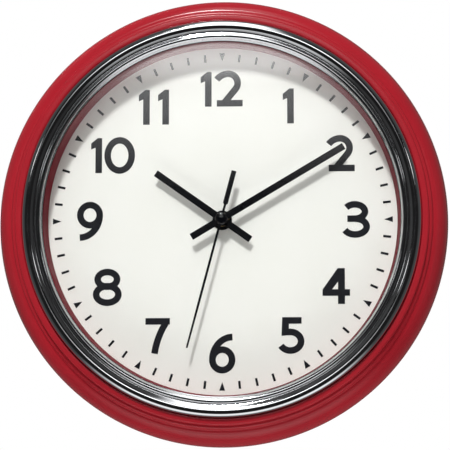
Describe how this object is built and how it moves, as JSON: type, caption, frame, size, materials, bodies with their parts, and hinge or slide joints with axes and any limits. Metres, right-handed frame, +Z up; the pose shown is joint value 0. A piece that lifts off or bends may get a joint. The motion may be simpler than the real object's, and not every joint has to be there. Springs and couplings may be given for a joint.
{
  "type": "wall clock",
  "caption": "Round battery wall clock: stepped glossy case ring, metal bezel, domed glass, numbered dial, three straight hands and a quartz movement on a keyhole hanger.",
  "frame": {"origin": "on the hands' axis, in the plane of the wall that the case's rear rim rests on", "axes": "-Y out of the dial towards the viewer, +Y into the wall, +Z up to twelve, +X to the viewer's right"},
  "size_m": [0.381, 0.0535, 0.381],
  "materials": {
    "case_plastic": "gloss",
    "bezel_chrome": "polished",
    "lens_glass": "polished",
    "black_rubber": "matte",
    "back_plastic": "matte",
    "dial_card": "matte",
    "dial_ink": "satin",
    "zinc_steel": "satin",
    "black_steel": "satin",
    "brass": "satin",
    "movement_plastic": "satin",
    "natural_plastic": "satin",
    "red_gear_plastic": "satin",
    "blue_gear_plastic": "satin",
    "magnet": "matte",
    "stator_steel": "satin",
    "copper_wire": "satin",
    "board": "satin",
    "epoxy": "gloss",
    "battery_sleeve": "gloss",
    "hand_black": "satin"
  },
  "bodies": {
    "case": {"case_ring": "case_plastic", "inner_wall_ring": "case_plastic", "chrome_bezel": "bezel_chrome", "lens": "lens_glass", "lens_gasket": "black_rubber", "back_plate": "back_plastic", "dial": "dial_card", "dial_numerals": "dial_ink", "minute_track": "dial_ink", "hour_markers": "dial_ink", "back_plate_screws": "zinc_steel", "bezel_screws": "zinc_steel", "hanger_plate": "zinc_steel", "hanger_screws": "zinc_steel", "movement_front_housing": "movement_plastic", "movement_back_cover": "movement_plastic", "rubber_washer": "black_rubber", "dial_washer": "black_steel", "hex_nut": "brass", "train_plate": "natural_plastic", "stator": "stator_steel", "coil_bobbin": "movement_plastic", "coil_winding": "copper_wire", "circuit_board": "board", "chip_blob": "epoxy", "quartz_crystal": "zinc_steel", "positive_contact": "zinc_steel", "negative_contact": "zinc_steel"},
    "minute_arbor": {"centre_wheel": "blue_gear_plastic", "minute_hand": "hand_black"},
    "hour_arbor": {"hour_wheel": "natural_plastic", "hour_hand": "hand_black"},
    "second_arbor": {"seconds_wheel": "red_gear_plastic", "second_hand": "hand_black", "second_hand_cap": "hand_black"},
    "third_arbor": {"third_wheel": "natural_plastic"},
    "fifth_arbor": {"fifth_wheel": "natural_plastic"},
    "rotor": {"rotor_magnet": "magnet", "rotor_pinion": "natural_plastic"},
    "motion_arbor": {"minute_wheel": "natural_plastic"},
    "knob": {"setting_knob": "movement_plastic"},
    "battery_cell": {"battery": "battery_sleeve"}
  },
  "joints": [
    {"name": "minute_hand_turn", "type": "hinge", "parent": "case", "child": "minute_arbor", "pos_m": [0, 0, 0], "axis": [0, 1, 0], "continuous": true},
    {"name": "hour_hand_turn", "type": "hinge", "parent": "case", "child": "hour_arbor", "pos_m": [0, 0, 0], "axis": [0, 1, 0], "continuous": true},
    {"name": "second_hand_turn", "type": "hinge", "parent": "case", "child": "second_arbor", "pos_m": [0, 0, 0], "axis": [0, 1, 0], "continuous": true},
    {"name": "third_wheel_turn", "type": "hinge", "parent": "case", "child": "third_arbor", "pos_m": [-0.00935, 0, 0.0054], "axis": [0, 1, 0], "continuous": true},
    {"name": "fifth_wheel_turn", "type": "hinge", "parent": "case", "child": "fifth_arbor", "pos_m": [0.0056, 0, 0.0097], "axis": [0, 1, 0], "continuous": true},
    {"name": "rotor_turn", "type": "hinge", "parent": "case", "child": "rotor", "pos_m": [0.01575, 0, 0.01339], "axis": [0, 1, 0], "continuous": true},
    {"name": "minute_wheel_turn", "type": "hinge", "parent": "case", "child": "motion_arbor", "pos_m": [0.00709, 0, -0.00125], "axis": [0, 1, 0], "continuous": true},
    {"name": "setting_knob_turn", "type": "hinge", "parent": "case", "child": "knob", "pos_m": [0.01455, 0, -0.00203], "axis": [0, 1, 0], "continuous": true},
    {"name": "battery_slide", "type": "slide", "parent": "case", "child": "battery_cell", "axis": [0, 1, 0], "range_m": [0, 0.018]}
  ],
  "couplings": [
    {"joint": "hour_hand_turn", "follows": "minute_hand_turn", "ratio": 0.083333},
    {"joint": "second_hand_turn", "follows": "minute_hand_turn", "ratio": 60},
    {"joint": "third_wheel_turn", "follows": "minute_hand_turn", "ratio": -8},
    {"joint": "fifth_wheel_turn", "follows": "minute_hand_turn", "ratio": -360},
    {"joint": "rotor_turn", "follows": "minute_hand_turn", "ratio": 1800},
    {"joint": "minute_wheel_turn", "follows": "minute_hand_turn", "ratio": -0.33333},
    {"joint": "setting_knob_turn", "follows": "minute_hand_turn", "ratio": 0.85714}
  ]
}
